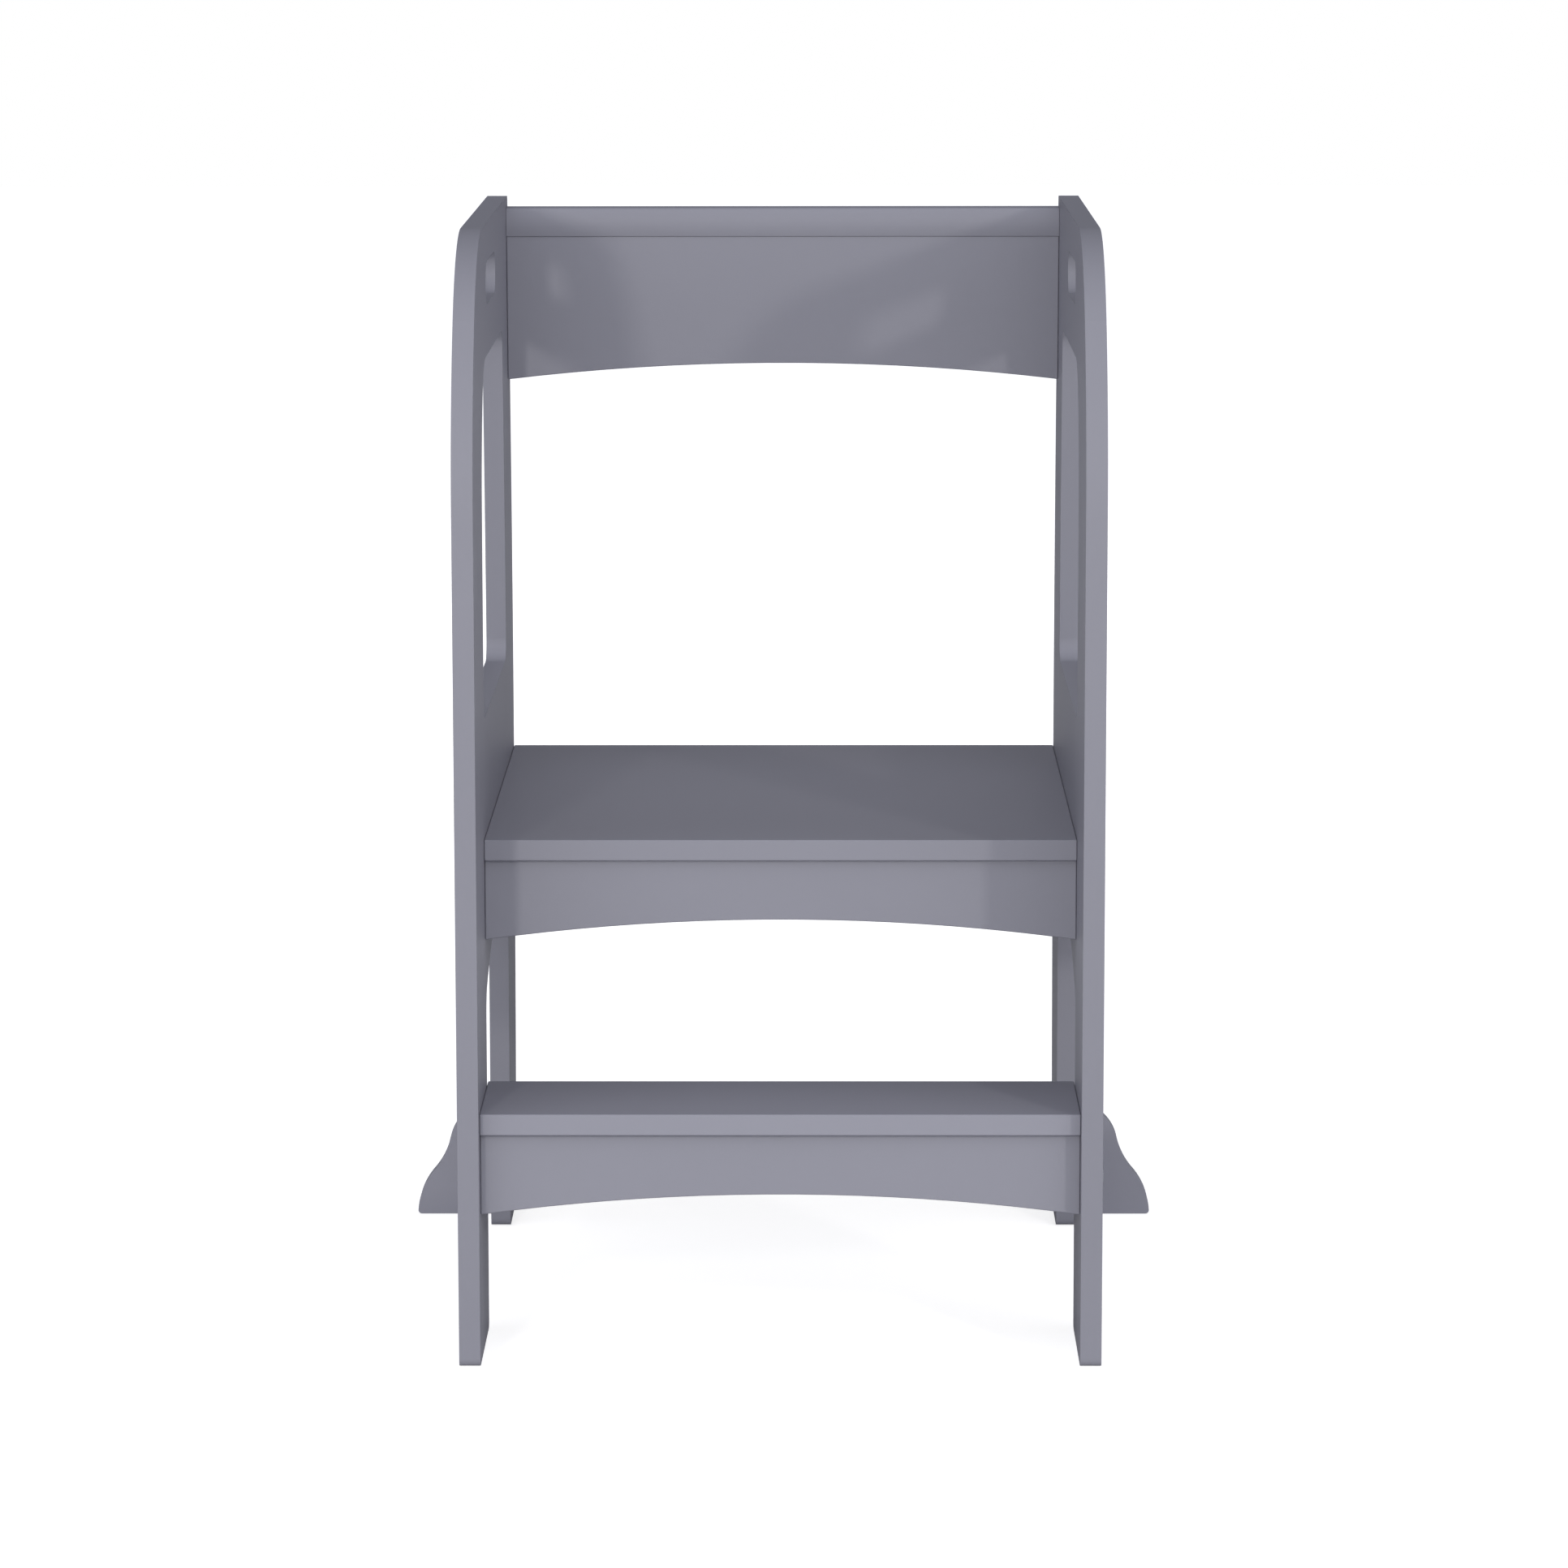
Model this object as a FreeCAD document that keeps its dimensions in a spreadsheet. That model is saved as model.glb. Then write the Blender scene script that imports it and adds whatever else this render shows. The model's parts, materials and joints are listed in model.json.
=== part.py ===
"""Toddler kitchen helper stool: two one-piece sides joined by a platform, a step and a guard rail.

Frame: millimetres, +Z up, X across the stool, Y from front to back.  The origin lies on the floor,
midway between the sides and midway between the front and the back of the stool.
"""
import FreeCAD, Part
import math
import os
import Sketcher

V = FreeCAD.Vector
doc = FreeCAD.newDocument("kitchen_helper_stool")

TOUCH = 0.01   # mm, two points nearer than this are the same point
SLIVER = 1.0   # mm3, a smaller volume counts as nothing

# ---------------------------------------------------------------- driving dimensions
SIZES = [
    # boards and overall size
    ("board_thickness", 16, "every board of the stool"),
    ("inner_width", 450, "clear width between the two sides"),
    ("panel_height", 843, "height of a side"),
    ("panel_depth", 580, "front edge of a side to the widest point of its rear edge"),
    ("end_clearance", 0.2, "gap between the end of a board and the side it meets"),
    ("arris", 0.6, "small chamfer that eases the edges of the boards between the sides"),
    # outline of a side
    ("crown_depth", 155, "front shoulder, front to back"),
    ("crown_height", 203, "front shoulder, bottom to top"),
    ("crown_turn", 33.3, "degrees that the lower of the two shoulder arcs turns"),
    ("rear_bow_radius", 2850, "gentle bow of the rear edge"),
    ("rear_bow_height", 375, "height of the widest point of the bow"),
    ("front_leg_width", 124, "front edge to window and to arch"),
    ("rear_leg_width", 115, "rear edge to window and to arch"),
    ("rear_foot_width", 96, "rear leg at the floor"),
    ("foot_corner_radius", 6, "corners of the feet"),
    ("top_corner_radius", 5, "rear corner of the level top"),
    ("arch_apex_drop", 89, "platform top down to the crown of the arch between the legs"),
    ("arch_rise", 35, "rise of that arch"),
    ("arch_corner_radius", 22, "where the arch meets the legs"),
    # window and hand slot of a side
    ("window_sill", 89, "platform top up to the window"),
    ("window_head", 101, "top of the side down to the window"),
    ("window_crown_depth", 66, "front curve of the window, front to back"),
    ("window_crown_height", 109, "front curve of the window, bottom to top"),
    ("window_corner_radius", 16, "the three other corners of the window"),
    ("slot_length", 142, "hand slot, end to end"),
    ("slot_height", 33, "hand slot, width of the opening"),
    ("slot_margin", 30, "top of the side down to the hand slot"),
    ("slot_centre_depth", 273, "front edge to the middle of the hand slot"),
    # platform and step
    ("platform_height", 383, "top of the platform above the floor"),
    ("platform_front", 108, "front edge of the sides to the platform"),
    ("step_height", 191, "top of the step above the floor"),
    ("step_front", 12.5, "front edge of the sides to the step"),
    ("step_depth", 121.5, "step, front to back"),
    ("apron_height", 62, "aprons, at their ends"),
    ("apron_rise", 15.5, "arch in the lower edge of an apron"),
    ("apron_setback", 6, "board edge to the face of the apron under it"),
    # guard rail
    ("rail_height", 117.8, "rail without its cap, at its ends"),
    ("rail_rise", 13.5, "arch in the lower edge of the rail"),
    ("rail_drop", 148.5, "top of the sides down to the foot of the rail"),
    ("rail_inset", 46.5, "widest point of the rear edge to the middle of the rail's foot"),
    ("rail_lean", 4, "degrees that the rail leans over the platform"),
    ("cap_height", 22.8, "rounded strip on the rail"),
    ("cap_foot_width", 17.6, "strip, where it sits on the rail"),
    ("cap_top_width", 13.6, "strip, at its top"),
    ("cap_face_radius", 33, "swell of the two faces of the strip"),
    ("cap_corner_radius", 3, "upper corners of the strip"),
    # stabilisers
    ("outrigger_inset", 60, "widest point of the rear edge to the back of a stabiliser"),
    ("shoulder_radius", 37, "stabiliser: convex top"),
    ("waist_radius", 60, "stabiliser: hollow of the ogee"),
    ("toe_radius", 55, "stabiliser: convex foot"),
    ("steep_angle", 12, "degrees off upright where the shoulder meets the hollow"),
    ("flare_angle", 41, "degrees off upright where the hollow meets the foot"),
    ("toe_corner_radius", 3, "stabiliser: lower corner of the toe"),
    # connector screws
    ("screw_diameter", 6, "shank of a connector screw"),
    ("screw_length", 50, "under the head"),
    ("short_screw_length", 38, "the stabilisers' screws, under the head"),
    ("head_diameter", 15, "flat head"),
    ("head_height", 2.6, "flat head"),
    ("socket_width", 4, "hexagon socket, across its flats"),
    ("socket_depth", 4.2, "hexagon socket"),
    ("clearance_hole", 7, "hole in the side, under a screw's head"),
    ("pilot_hole", 6.2, "hole in the piece that a screw pulls up"),
    ("pilot_spare", 2, "pilot hole deeper than the screw"),
    ("bore_overshoot", 1, "how far a bore starts outside the wood that it enters"),
    ("apron_screw_rise", 30, "apron's lower edge to its screws"),
    ("step_screw_inset", 42, "back edge of the step to its screws"),
    ("rail_screw_margin", 28, "rail's foot and top to its screws"),
    ("outrigger_screw_low", 24, "floor to the lower screw of a stabiliser"),
    ("outrigger_screw_rise", 36, "lower screw of a stabiliser to the upper one"),
    # dowels that hold the strip on the rail
    ("dowel_diameter", 8, "dowel"),
    ("dowel_length", 30, "dowel"),
    ("dowel_hole", 8.2, "hole for a dowel"),
    ("dowel_rise", 13, "dowel's length in the strip"),
    ("dowel_spare", 0.5, "hole deeper than the dowel"),
    ("dowel_spacing", 300, "from one dowel to the other"),
]

sheet = doc.addObject("Spreadsheet::Sheet", "Sizes")
for row, (alias, number, meaning) in enumerate(SIZES, start=1):
    sheet.set("A%d" % row, alias)
    sheet.set("B%d" % row, str(number))
    sheet.set("C%d" % row, meaning)
    sheet.setAlias("B%d" % row, alias)
doc.recompute()


def value(expression):
    """Number that an expression of the sheet's cells gives now."""
    return float(sheet.evalExpression(expression))


def cell(alias):
    """Expression text for one cell."""
    return "Sizes." + alias


def point(expressions):
    """Vector worked out from three expressions."""
    return V(*[value(text) for text in expressions])


# ---------------------------------------------------------------- places that several pieces share
T = cell("board_thickness")
HALF = "(Sizes.inner_width / 2)"
OUTER = "(Sizes.inner_width / 2 + Sizes.board_thickness)"
FRONT = "(-Sizes.panel_depth / 2)"
REAR = "(Sizes.panel_depth / 2)"
HALF_LENGTH = "(Sizes.inner_width / 2 - Sizes.end_clearance)"
PLATFORM_Y0 = "(%s + Sizes.platform_front)" % FRONT
PLATFORM_DEPTH = "(Sizes.panel_depth - Sizes.platform_front)"
STEP_Y0 = "(%s + Sizes.step_front)" % FRONT
RAIL_Y = "(%s - Sizes.rail_inset)" % REAR
RAIL_Z = "(Sizes.panel_height - Sizes.rail_drop)"
OUTRIGGER_Y = "(%s - Sizes.outrigger_inset - Sizes.board_thickness / 2)" % REAR
PLATFORM_UNDER = "(Sizes.platform_height - Sizes.board_thickness)"
STEP_UNDER = "(Sizes.step_height - Sizes.board_thickness)"
FRONT_APRON_Y = "(%s + Sizes.apron_setback + Sizes.board_thickness / 2)" % PLATFORM_Y0
REAR_APRON_Y = "(%s - Sizes.apron_setback - Sizes.board_thickness / 2)" % REAR
STEP_APRON_Y = "(%s + Sizes.apron_setback + Sizes.board_thickness / 2)" % STEP_Y0

lean = math.radians(value("Sizes.rail_lean"))
DOWN_THE_RAIL = V(0, math.sin(lean), -math.cos(lean))


def on_rail(rise):
    """Y and Z of the point in the middle of the leaning rail that is `rise` above its foot."""
    y = "(%s - %s * sin(Sizes.rail_lean))" % (RAIL_Y, rise)
    z = "(%s + %s * cos(Sizes.rail_lean))" % (RAIL_Z, rise)
    return y, z


# ---------------------------------------------------------------- sketch and body helpers
def origin_plane(body, role):
    """One of the body's own origin planes."""
    return [item for item in body.Origin.OriginFeatures if item.Role == role][0]


def bind(sketch, constraint, expression):
    """Add a driving constraint and tie it to the sheet."""
    number = sketch.addConstraint(constraint)
    sketch.setExpression("Constraints[%d]" % number, expression)


def draw_loop(sketch, vertices):
    """Draw a closed outline.

    Each vertex is (x, y, edge): two expressions, and the edge that leads on from it, which is None
    for a straight one or (radius, side) for an arc that swells to its left (+1) or right (-1).
    """
    corners = [V(value(x), value(y), 0) for x, y, edge in vertices]
    ends = []
    for number, vertex in enumerate(vertices):
        edge = vertex[2]
        start = corners[number]
        stop = corners[(number + 1) % len(corners)]
        if edge is None:
            ends.append((sketch.addGeometry(Part.LineSegment(start, stop)), 1, 2))
            continue
        radius = value(edge[0])
        chord = stop - start
        left = V(-chord.y, chord.x, 0).normalize()
        sagitta = radius - math.sqrt(radius ** 2 - (chord.Length / 2) ** 2)
        middle = (start + stop) / 2 + left * (sagitta * edge[1])
        if edge[1] < 0:
            ends.append((sketch.addGeometry(Part.Arc(start, middle, stop)), 1, 2))
        else:
            ends.append((sketch.addGeometry(Part.Arc(stop, middle, start)), 2, 1))
    for number, (x, y, edge) in enumerate(vertices):
        before = ends[number - 1]
        here = ends[number]
        sketch.addConstraint(Sketcher.Constraint("Coincident", before[0], before[2], here[0], here[1]))
        corner = corners[number]
        bind(sketch, Sketcher.Constraint("DistanceX", -1, 1, here[0], here[1], corner.x), x)
        bind(sketch, Sketcher.Constraint("DistanceY", -1, 1, here[0], here[1], corner.y), y)
        if edge is not None:
            bind(sketch, Sketcher.Constraint("Radius", here[0], value(edge[0])), edge[0])


def new_sketch(body, name, role, loops):
    """Sketch on one of the body's origin planes."""
    sketch = body.newObject("Sketcher::SketchObject", name)
    sketch.AttachmentSupport = [(origin_plane(body, role), "")]
    sketch.MapMode = "FlatFace"
    for vertices in loops:
        draw_loop(sketch, vertices)
    return sketch


def padded_body(name, role, loops, thickness, reverse=False, symmetric=False):
    """Body cut from sheet material: an outline and its openings, padded to a thickness."""
    body = doc.addObject("PartDesign::Body", name)
    sketch = new_sketch(body, name + "_outline", role, loops)
    pad = body.newObject("PartDesign::Pad", name + "_pad")
    pad.Profile = sketch
    pad.setExpression("Length", thickness)
    pad.Reversed = reverse
    pad.Midplane = symmetric
    doc.recompute()
    return body


def round_edges(body, name, radius, wanted):
    """Fillet the edges of the body's tip for which wanted(edge) is true."""
    tip = body.Tip
    names = ["Edge%d" % n for n, edge in enumerate(tip.Shape.Edges, start=1) if wanted(edge)]
    fillet = body.newObject("PartDesign::Fillet", name)
    fillet.Base = (tip, names)
    fillet.setExpression("Radius", radius)
    doc.recompute()


def ease_edges(body, name):
    """Chamfer every edge of the body's tip as a small arris."""
    tip = body.Tip
    names = ["Edge%d" % n for n in range(1, len(tip.Shape.Edges) + 1)]
    chamfer = body.newObject("PartDesign::Chamfer", name)
    chamfer.Base = (tip, names)
    chamfer.setExpression("Size", cell("arris"))
    doc.recompute()


def edge_along(direction, spots):
    """Test for a straight edge along `direction` that passes one of the points `spots`."""
    def wanted(edge):
        ends = [vertex.Point for vertex in edge.Vertexes]
        if len(ends) != 2 or (ends[1] - ends[0]).cross(direction).Length > TOUCH:
            return False
        return any((ends[0] - spot).cross(direction).Length < TOUCH for spot in spots)
    return wanted


def place(body, base, axis=V(0, 0, 1), angle="0"):
    """Bind the body's placement: base is three expressions, angle an expression in degrees."""
    body.Placement = FreeCAD.Placement(point(base), FreeCAD.Rotation(axis, value(angle)))
    for letter, text in zip("xyz", base):
        body.setExpression("Placement.Base." + letter, text)
    if value(angle):
        body.setExpression("Placement.Rotation.Angle", "(%s) * 1 deg" % angle)


# ---------------------------------------------------------------- outlines
def sweep(start_x, end_y, depth, height, turn):
    """Two tangent arcs that lead from upright to level: join point and both radii.

    The lower arc turns by `turn` degrees and the upper one by the rest of the right angle.
    """
    sine = "sin(%s)" % turn
    cosine = "cos(%s)" % turn
    scale = "(%s * %s - (1 - %s) * (1 - %s))" % (cosine, sine, sine, cosine)
    upper = "((%s * %s - %s * (1 - %s)) / %s)" % (depth, sine, height, cosine, scale)
    lower = "((%s * %s - %s * (1 - %s)) / %s)" % (height, cosine, depth, sine, scale)
    join_x = "(%s + %s * (1 - %s))" % (start_x, lower, cosine)
    join_y = "(%s - %s * (1 - %s))" % (end_y, upper, sine)
    return join_x, join_y, upper, lower


def rear_edge(height, inset):
    """Distance from the front edge to the bowed rear edge, less `inset`, at a height."""
    bow = cell("rear_bow_radius")
    middle = "(%s - %s)" % (cell("panel_depth"), bow)
    fall = "(%s - %s)" % (height, cell("rear_bow_height"))
    return "(%s + sqrt((%s - %s) ^ 2 - %s ^ 2))" % (middle, bow, inset, fall)


ARCH_SPRING = "(Sizes.platform_height - Sizes.arch_apex_drop - Sizes.arch_rise)"
WINDOW_LOW = "(Sizes.platform_height + Sizes.window_sill)"
WINDOW_HIGH = "(Sizes.panel_height - Sizes.window_head)"
LEG = cell("front_leg_width")
INNER_BOW = ("(Sizes.rear_bow_radius - Sizes.rear_leg_width)", -1)


def side_outline():
    """Outer edge of a side with its two legs, seen with the front at x = 0."""
    top = cell("panel_height")
    join_x, join_y, upper, lower = sweep("0", top, cell("crown_depth"), cell("crown_height"),
                                         cell("crown_turn"))
    rear_spring = rear_edge(ARCH_SPRING, cell("rear_leg_width"))
    chord = "(%s - %s)" % (rear_spring, LEG)
    arch_radius = "((%s ^ 2 / 4 + Sizes.arch_rise ^ 2) / (2 * Sizes.arch_rise))" % chord
    return [
        ("0", "0", None),
        ("0", "(%s - Sizes.crown_height)" % top, (lower, 1)),
        (join_x, join_y, (upper, 1)),
        (cell("crown_depth"), top, None),
        (rear_edge(top, "0"), top, (cell("rear_bow_radius"), 1)),
        (rear_edge("0", "0"), "0", None),
        ("(%s - Sizes.rear_foot_width)" % rear_edge("0", "0"), "0", None),
        (rear_spring, ARCH_SPRING, (arch_radius, -1)),
        (LEG, ARCH_SPRING, None),
        (LEG, "0", None),
    ]


def window_outline():
    """Large opening beside the platform."""
    join_x, join_y, upper, lower = sweep(LEG, WINDOW_HIGH, cell("window_crown_depth"),
                                         cell("window_crown_height"), cell("crown_turn"))
    return [
        (LEG, WINDOW_LOW, None),
        (LEG, "(%s - Sizes.window_crown_height)" % WINDOW_HIGH, (lower, 1)),
        (join_x, join_y, (upper, 1)),
        ("(%s + Sizes.window_crown_depth)" % LEG, WINDOW_HIGH, None),
        (rear_edge(WINDOW_HIGH, cell("rear_leg_width")), WINDOW_HIGH, (INNER_BOW[0], 1)),
        (rear_edge(WINDOW_LOW, cell("rear_leg_width")), WINDOW_LOW, None),
    ]


def slot_outline():
    """Hand slot with round ends, each made of two quarter turns."""
    radius = "(Sizes.slot_height / 2)"
    middle = cell("slot_centre_depth")
    reach = "(Sizes.slot_length / 2)"
    high = "(Sizes.panel_height - Sizes.slot_margin)"
    centre = "(%s - %s)" % (high, radius)
    low = "(%s - 2 * %s)" % (high, radius)
    turn = (radius, 1)
    return [
        ("(%s - %s + %s)" % (middle, reach, radius), high, None),
        ("(%s + %s - %s)" % (middle, reach, radius), high, turn),
        ("(%s + %s)" % (middle, reach), centre, turn),
        ("(%s + %s - %s)" % (middle, reach, radius), low, None),
        ("(%s - %s + %s)" % (middle, reach, radius), low, turn),
        ("(%s - %s)" % (middle, reach), centre, turn),
    ]


def arched_outline(tall, rise):
    """Board seen from the front, with an arched lower edge."""
    arch = "((%s ^ 2 + %s ^ 2) / (2 * %s))" % (HALF_LENGTH, rise, rise)
    return [
        ("(-%s)" % HALF_LENGTH, "0", (arch, 1)),
        (HALF_LENGTH, "0", None),
        (HALF_LENGTH, tall, None),
        ("(-%s)" % HALF_LENGTH, tall, None),
    ]


def plank_outline(depth):
    """Board seen from above, with its front edge at y = 0."""
    return [
        ("(-%s)" % HALF_LENGTH, "0", None),
        (HALF_LENGTH, "0", None),
        (HALF_LENGTH, depth, None),
        ("(-%s)" % HALF_LENGTH, depth, None),
    ]


def cap_outline():
    """Section of the strip on the rail, with its middle at x = 0."""
    foot = "(Sizes.cap_foot_width / 2)"
    head = "(Sizes.cap_top_width / 2)"
    swell = (cell("cap_face_radius"), -1)
    return [
        ("(-%s)" % foot, "0", None),
        (foot, "0", swell),
        (head, cell("cap_height"), None),
        ("(-%s)" % head, cell("cap_height"), swell),
    ]


def outrigger_outline():
    """Ogee of a stabiliser, from the side at x = 0 out to its toe: shoulder, hollow and foot."""
    shoulder, waist, toe = cell("shoulder_radius"), cell("waist_radius"), cell("toe_radius")
    steep, flare = cell("steep_angle"), cell("flare_angle")
    first_x = "(%s * cos(%s))" % (shoulder, steep)
    second_x = "(%s + %s * (cos(%s) - cos(%s)))" % (first_x, waist, steep, flare)
    toe_x = "(%s + %s * (1 - cos(%s)))" % (second_x, toe, flare)
    second_y = "(%s * sin(%s))" % (toe, flare)
    first_y = "(%s + %s * (sin(%s) - sin(%s)))" % (second_y, waist, flare, steep)
    top_y = "(%s + %s * (1 - sin(%s)))" % (first_y, shoulder, steep)
    return [
        ("0", "0", None),
        ("0", top_y, (shoulder, 1)),
        (first_x, first_y, (waist, -1)),
        (second_x, second_y, (toe, 1)),
        (toe_x, "0", None),
    ]


# ---------------------------------------------------------------- boards before they are drilled
def side_panel(name, hand):
    """One side; hand is -1 for the left one and +1 for the right one."""
    loops = [side_outline(), window_outline(), slot_outline()]
    body = padded_body(name, "YZ_Plane", loops, T, reverse=hand < 0)
    across = V(1, 0, 0)

    def corner(vertex):
        return V(0, value(vertex[0]), value(vertex[1]))

    outline, window = side_outline(), window_outline()
    feet = [corner(outline[n]) for n in (0, 5, 6, 9)]
    springs = [corner(outline[n]) for n in (7, 8)]
    corners = [corner(window[n]) for n in (0, 4, 5)]
    round_edges(body, name + "_feet", cell("foot_corner_radius"), edge_along(across, feet))
    round_edges(body, name + "_top", cell("top_corner_radius"), edge_along(across, [corner(outline[4])]))
    round_edges(body, name + "_arch", cell("arch_corner_radius"), edge_along(across, springs))
    round_edges(body, name + "_window", cell("window_corner_radius"), edge_along(across, corners))
    place(body, ("(%d * %s)" % (hand, HALF), FRONT, "0"))
    return body


def plank(name, depth, base):
    """Level board."""
    body = padded_body(name, "XY_Plane", [plank_outline(depth)], T)
    ease_edges(body, name + "_arris")
    place(body, base)
    return body


def upright(name, outline, base, axis=V(0, 0, 1), angle="0"):
    """Board on edge whose thickness lies evenly about its placement."""
    body = padded_body(name, "XZ_Plane", [outline], T, symmetric=True)
    place(body, base, axis, angle)
    return body


def apron(name, y, under):
    """Arched board whose top lies against the underside of a level board."""
    outline = arched_outline(cell("apron_height"), cell("apron_rise"))
    body = upright(name, outline, ("0", y, "(%s - Sizes.apron_height)" % under))
    ease_edges(body, name + "_arris")
    return body


def rail_strip(name):
    """Rounded strip along the top of the leaning rail."""
    body = padded_body(name, "YZ_Plane", [cap_outline()], "(2 * %s)" % HALF_LENGTH, symmetric=True)
    top = value("Sizes.cap_height")
    half = value("Sizes.cap_top_width / 2")
    ridges = [V(0, -half, top), V(0, half, top)]
    round_edges(body, name + "_corners", cell("cap_corner_radius"), edge_along(V(1, 0, 0), ridges))
    place(body, ("0",) + on_rail(cell("rail_height")), V(1, 0, 0), cell("rail_lean"))
    return body


def rail(name):
    """Arched board that leans over the platform."""
    outline = arched_outline(cell("rail_height"), cell("rail_rise"))
    body = upright(name, outline, ("0", RAIL_Y, RAIL_Z), V(1, 0, 0), cell("rail_lean"))
    ease_edges(body, name + "_arris")
    return body


def outrigger(name, hand):
    """Stabiliser that stands against the outer face of a rear leg."""
    base = ("(%d * %s)" % (hand, OUTER), OUTRIGGER_Y, "0")
    body = upright(name, outrigger_outline(), base, angle="0" if hand > 0 else "180")
    toe = V(value(outrigger_outline()[-1][0]), 0, 0)
    round_edges(body, name + "_toe", cell("toe_corner_radius"), edge_along(V(0, 1, 0), [toe]))
    return body


blanks = {
    "side_panel_left": side_panel("left_blank", -1),
    "side_panel_right": side_panel("right_blank", 1),
    "platform_board": plank("platform_blank", PLATFORM_DEPTH, ("0", PLATFORM_Y0, PLATFORM_UNDER)),
    "platform_apron_front": apron("front_apron_blank", FRONT_APRON_Y, PLATFORM_UNDER),
    "platform_apron_rear": apron("rear_apron_blank", REAR_APRON_Y, PLATFORM_UNDER),
    "step_board": plank("step_blank", cell("step_depth"), ("0", STEP_Y0, STEP_UNDER)),
    "step_apron": apron("step_apron_blank", STEP_APRON_Y, STEP_UNDER),
    "rail_panel": rail("rail_blank"),
    "rail_cap": rail_strip("cap_blank"),
    "stabiliser_left": outrigger("left_outrigger_blank", -1),
    "stabiliser_right": outrigger("right_outrigger_blank", 1),
}


# ---------------------------------------------------------------- fasteners and their holes
SIDES = (("left", -1), ("right", 1))
OVERSHOOT = cell("bore_overshoot")
drillings = {}
fasteners = []


def cylinder(name, diameter, length):
    """Plain cylinder up +Z from the origin."""
    solid = doc.addObject("Part::Cylinder", name)
    solid.setExpression("Radius", diameter + " / 2")
    solid.setExpression("Height", length)
    return solid


def aim(item, start, direction):
    """Put the origin of a piece that runs along +Z at a point, and turn it to a direction."""
    item.Placement = FreeCAD.Placement(point(start), FreeCAD.Rotation(V(0, 0, 1), direction))
    for letter, text in zip("xyz", start):
        item.setExpression("Placement.Base." + letter, text)


def drill(boards, name, start, direction, diameter, length):
    """Bore the named boards from the point `start`."""
    bore = cylinder(name, diameter, length)
    aim(bore, start, direction)
    for board in boards:
        drillings.setdefault(board, []).append(bore)


def group(label, members):
    """One node for identical pieces."""
    node = doc.addObject("Part::Compound", label)
    node.Links = members
    fasteners.append(node)


def connector_screw(name, seat, direction, length):
    """Flat-headed screw with a hexagon socket; `seat` is the centre of the head's underside."""
    head = cylinder(name + "_head", cell("head_diameter"), cell("head_height"))
    head.setExpression("Placement.Base.z", "-Sizes.head_height")
    shank = cylinder(name + "_shank", cell("screw_diameter"), length)
    turned = doc.addObject("Part::Fuse", name + "_turned")
    turned.Base = head
    turned.Tool = shank
    socket = doc.addObject("Part::Prism", name + "_socket")
    socket.Polygon = 6
    socket.setExpression("Circumradius", "Sizes.socket_width / sqrt(3)")
    socket.setExpression("Height", cell("socket_depth"))
    socket.setExpression("Placement.Base.z", "-Sizes.head_height")
    screw = doc.addObject("Part::Cut", name)
    screw.Base = turned
    screw.Tool = socket
    aim(screw, seat, direction)
    return screw


def screw_pair(label, boards, face, inward, y, z, length):
    """A screw through each side into a board, with both holes.

    `boards` are the left and the right board, `face` is the distance from the middle of the stool to
    the faces under the heads, and `inward` is -1 for screws driven towards the middle.
    """
    pair = []
    for board, (side, hand) in zip(boards, SIDES):
        name = "%s_%s" % (label, side)
        way = hand * inward
        before = "(%d * %s - %d * %s)" % (hand, face, way, OVERSHOOT)
        seam = "(%d * %s + %d * (%s - %s))" % (hand, face, way, T, OVERSHOOT)
        direction = V(way, 0, 0)
        drill(["side_panel_" + side], name + "_clearance", (before, y, z), direction,
              cell("clearance_hole"), "(%s + 2 * %s)" % (T, OVERSHOOT))
        drill([board], name + "_pilot", (seam, y, z), direction, cell("pilot_hole"),
              "(%s - %s + %s + Sizes.pilot_spare)" % (length, T, OVERSHOOT))
        pair.append(connector_screw(name, ("(%d * %s)" % (hand, face), y, z), direction, length))
    group(label, pair)


def outside_screws(label, board, y, z):
    """Screws from the outer faces into both ends of a board."""
    screw_pair(label, (board, board), OUTER, -1, y, z, cell("screw_length"))


def above_lower_edge(under):
    """Height of the screws in an apron whose top lies at `under`."""
    return "(%s - Sizes.apron_height + Sizes.apron_screw_rise)" % under


STEP_SCREW_Y = "(%s + Sizes.step_depth - Sizes.step_screw_inset)" % STEP_Y0
STEP_SCREW_Z = "(Sizes.step_height - Sizes.board_thickness / 2)"
outside_screws("platform_front_screws", "platform_apron_front", FRONT_APRON_Y,
               above_lower_edge(PLATFORM_UNDER))
outside_screws("platform_rear_screws", "platform_apron_rear", REAR_APRON_Y,
               above_lower_edge(PLATFORM_UNDER))
outside_screws("step_screws", "step_board", STEP_SCREW_Y, STEP_SCREW_Z)
outside_screws("step_apron_screws", "step_apron", STEP_APRON_Y, above_lower_edge(STEP_UNDER))
outside_screws("rail_lower_screws", "rail_panel", *on_rail(cell("rail_screw_margin")))
outside_screws("rail_upper_screws", "rail_panel",
               *on_rail("(Sizes.rail_height - Sizes.rail_screw_margin)"))

OUTRIGGER_SCREW_Z = {
    "stabiliser_lower_screws": cell("outrigger_screw_low"),
    "stabiliser_upper_screws": "(Sizes.outrigger_screw_low + Sizes.outrigger_screw_rise)",
}
for label, z in OUTRIGGER_SCREW_Z.items():
    screw_pair(label, ("stabiliser_left", "stabiliser_right"), HALF, 1, OUTRIGGER_Y, z,
               cell("short_screw_length"))

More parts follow.
